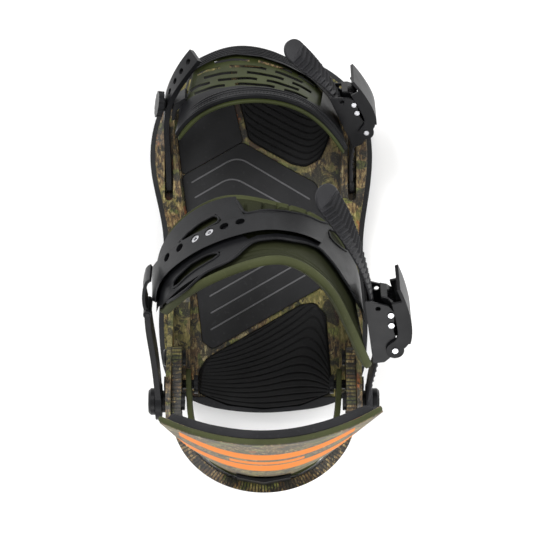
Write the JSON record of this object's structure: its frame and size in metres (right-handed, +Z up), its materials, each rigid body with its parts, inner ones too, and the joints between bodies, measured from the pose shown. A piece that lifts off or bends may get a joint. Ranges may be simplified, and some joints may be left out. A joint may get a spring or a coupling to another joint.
{
  "type": "snowboard strap binding",
  "caption": "Right-foot strap binding for a snowboard: baseplate with footbed pads, heel hoop, folding highback, and ratchet straps over the ankle and toes.",
  "frame": {"origin": "centre of the mounting disc on the face that lies on the board", "axes": "+X towards the buckle side of the right foot, +Y towards the toe, +Z up from the board"},
  "size_m": [0.1657, 0.2822, 0.226],
  "materials": {
    "cushion_rubber": "matte",
    "camo_nylon": "satin, brown and olive camouflage",
    "disc_nylon": "satin",
    "ribbed_rubber": "matte",
    "footbed_rubber": "matte",
    "black_bolts": "satin",
    "steel": "satin",
    "spacer_nylon": "satin",
    "highback_foam": "matte",
    "lean_nylon": "satin",
    "olive_padding": "matte",
    "olive_web": "satin",
    "strap_nylon": "satin",
    "ladder_nylon": "matte",
    "buckle_black": "satin",
    "lever_alloy": "satin",
    "pawl_black": "gloss"
  },
  "bodies": {
    "base": {"base_cushion": "cushion_rubber", "baseplate": "camo_nylon", "heel_pad": "ribbed_rubber", "centre_pad": "footbed_rubber", "toe_grip_pad": "footbed_rubber", "toe_pad": "ribbed_rubber", "heel_hoop": "camo_nylon", "hoop_bolts": "black_bolts", "hoop_nuts": "black_bolts", "strap_bolts": "black_bolts", "strap_nuts": "black_bolts", "strap_spacers": "spacer_nylon", "hinge_bolts": "black_bolts", "hinge_nuts": "black_bolts", "toe_pins": "black_bolts"},
    "disc": {"mounting_disc": "disc_nylon"},
    "highback": {"highback_shell": "camo_nylon", "highback_pad": "highback_foam"},
    "lean_stop": {"lean_block": "lean_nylon"},
    "ankle_strap": {"ankle_pad": "olive_padding", "ankle_exoframe": "strap_nylon", "ankle_size_bar": "strap_nylon", "ankle_strap_screws": "steel", "ankle_connector": "strap_nylon", "ankle_adjuster_pin": "black_bolts", "ankle_buckle_frame": "buckle_black", "ankle_buckle_rivets": "steel", "ankle_lever_springs": "steel", "ankle_buckle_screw": "steel"},
    "ankle_ladder_strap": {"ankle_ladder": "ladder_nylon"},
    "ankle_lever": {"ankle_buckle_lever": "lever_alloy", "ankle_drive_pawl": "pawl_black"},
    "ankle_release": {"ankle_release_pawl": "pawl_black"},
    "ankle_adjuster": {"ankle_adjuster_lever": "strap_nylon"},
    "toe_strap": {"toe_web": "olive_web", "toe_frame": "strap_nylon", "toe_adjuster_strip": "strap_nylon", "toe_buckle_frame": "buckle_black", "toe_buckle_rivets": "steel", "toe_lever_springs": "steel", "toe_buckle_screw": "steel"},
    "toe_ladder_strap": {"toe_ladder": "ladder_nylon"},
    "toe_lever": {"toe_buckle_lever": "lever_alloy", "toe_drive_pawl": "pawl_black"},
    "toe_release": {"toe_release_pawl": "pawl_black"},
    "toe_knob": {"toe_adjuster_knob": "strap_nylon"}
  },
  "joints": [
    {"name": "stance_angle", "type": "hinge", "parent": "base", "child": "disc", "pos_m": [0, 0, 0], "axis": [0, 0, 1], "continuous": true},
    {"name": "highback_fold", "type": "hinge", "parent": "base", "child": "highback", "pos_m": [0, -0.094, 0.05], "axis": [-1, 0, 0], "range_deg": [0, 25]},
    {"name": "lean_slider", "type": "slide", "parent": "highback", "child": "lean_stop", "axis": [0, 0.2169, 0.9762], "range_m": [0, 0.012]},
    {"name": "ankle_strap_swing", "type": "hinge", "parent": "base", "child": "ankle_strap", "pos_m": [0, -0.104, 0.067], "axis": [-1, 0, 0], "range_deg": [0, 20]},
    {"name": "ankle_ladder_swing", "type": "hinge", "parent": "base", "child": "ankle_ladder_strap", "pos_m": [0, -0.104, 0.067], "axis": [-1, 0, 0], "range_deg": [0, 20]},
    {"name": "ankle_lever_turn", "type": "hinge", "parent": "ankle_strap", "child": "ankle_lever", "pos_m": [0.0807, -0.06286, 0.09172], "axis": [0, 0.515, -0.8572], "range_deg": [0, 60], "stiffness_Nm_per_rad": 0.05, "springref_deg": -5.73},
    {"name": "ankle_release_press", "type": "hinge", "parent": "ankle_strap", "child": "ankle_release", "pos_m": [0.07749, -0.04204, 0.10423], "axis": [0, -0.515, 0.8572], "range_deg": [0, 8], "stiffness_Nm_per_rad": 0.05, "springref_deg": -5.73},
    {"name": "ankle_adjuster_turn", "type": "hinge", "parent": "ankle_strap", "child": "ankle_adjuster", "pos_m": [-0.0712, -0.044, 0.10305], "axis": [0, -0.515, 0.8572], "range_deg": [0, 50]},
    {"name": "toe_strap_swing", "type": "hinge", "parent": "base", "child": "toe_strap", "pos_m": [0, 0.034, 0.0175], "axis": [1, 0, 0], "range_deg": [0, 12]},
    {"name": "toe_ladder_swing", "type": "hinge", "parent": "base", "child": "toe_ladder_strap", "pos_m": [0, 0.034, 0.0175], "axis": [1, 0, 0], "range_deg": [0, 12]},
    {"name": "toe_lever_turn", "type": "hinge", "parent": "toe_strap", "child": "toe_lever", "pos_m": [0.0653, 0.07301, 0.04188], "axis": [0, 0.5299, -0.848], "range_deg": [0, 60], "stiffness_Nm_per_rad": 0.05, "springref_deg": -5.73},
    {"name": "toe_release_press", "type": "hinge", "parent": "toe_strap", "child": "toe_release", "pos_m": [0.05699, 0.0892, 0.05199], "axis": [0, -0.5299, 0.848], "range_deg": [0, 8], "stiffness_Nm_per_rad": 0.05, "springref_deg": -5.73},
    {"name": "toe_knob_turn", "type": "hinge", "parent": "toe_strap", "child": "toe_knob", "pos_m": [-0.06133, 0.08412, 0.04883], "axis": [-0.9746, 0.0995, 0.2005], "continuous": true}
  ],
  "couplings": [
    {"joint": "ankle_ladder_swing", "follows": "ankle_strap_swing", "ratio": 1},
    {"joint": "toe_ladder_swing", "follows": "toe_strap_swing", "ratio": 1}
  ]
}
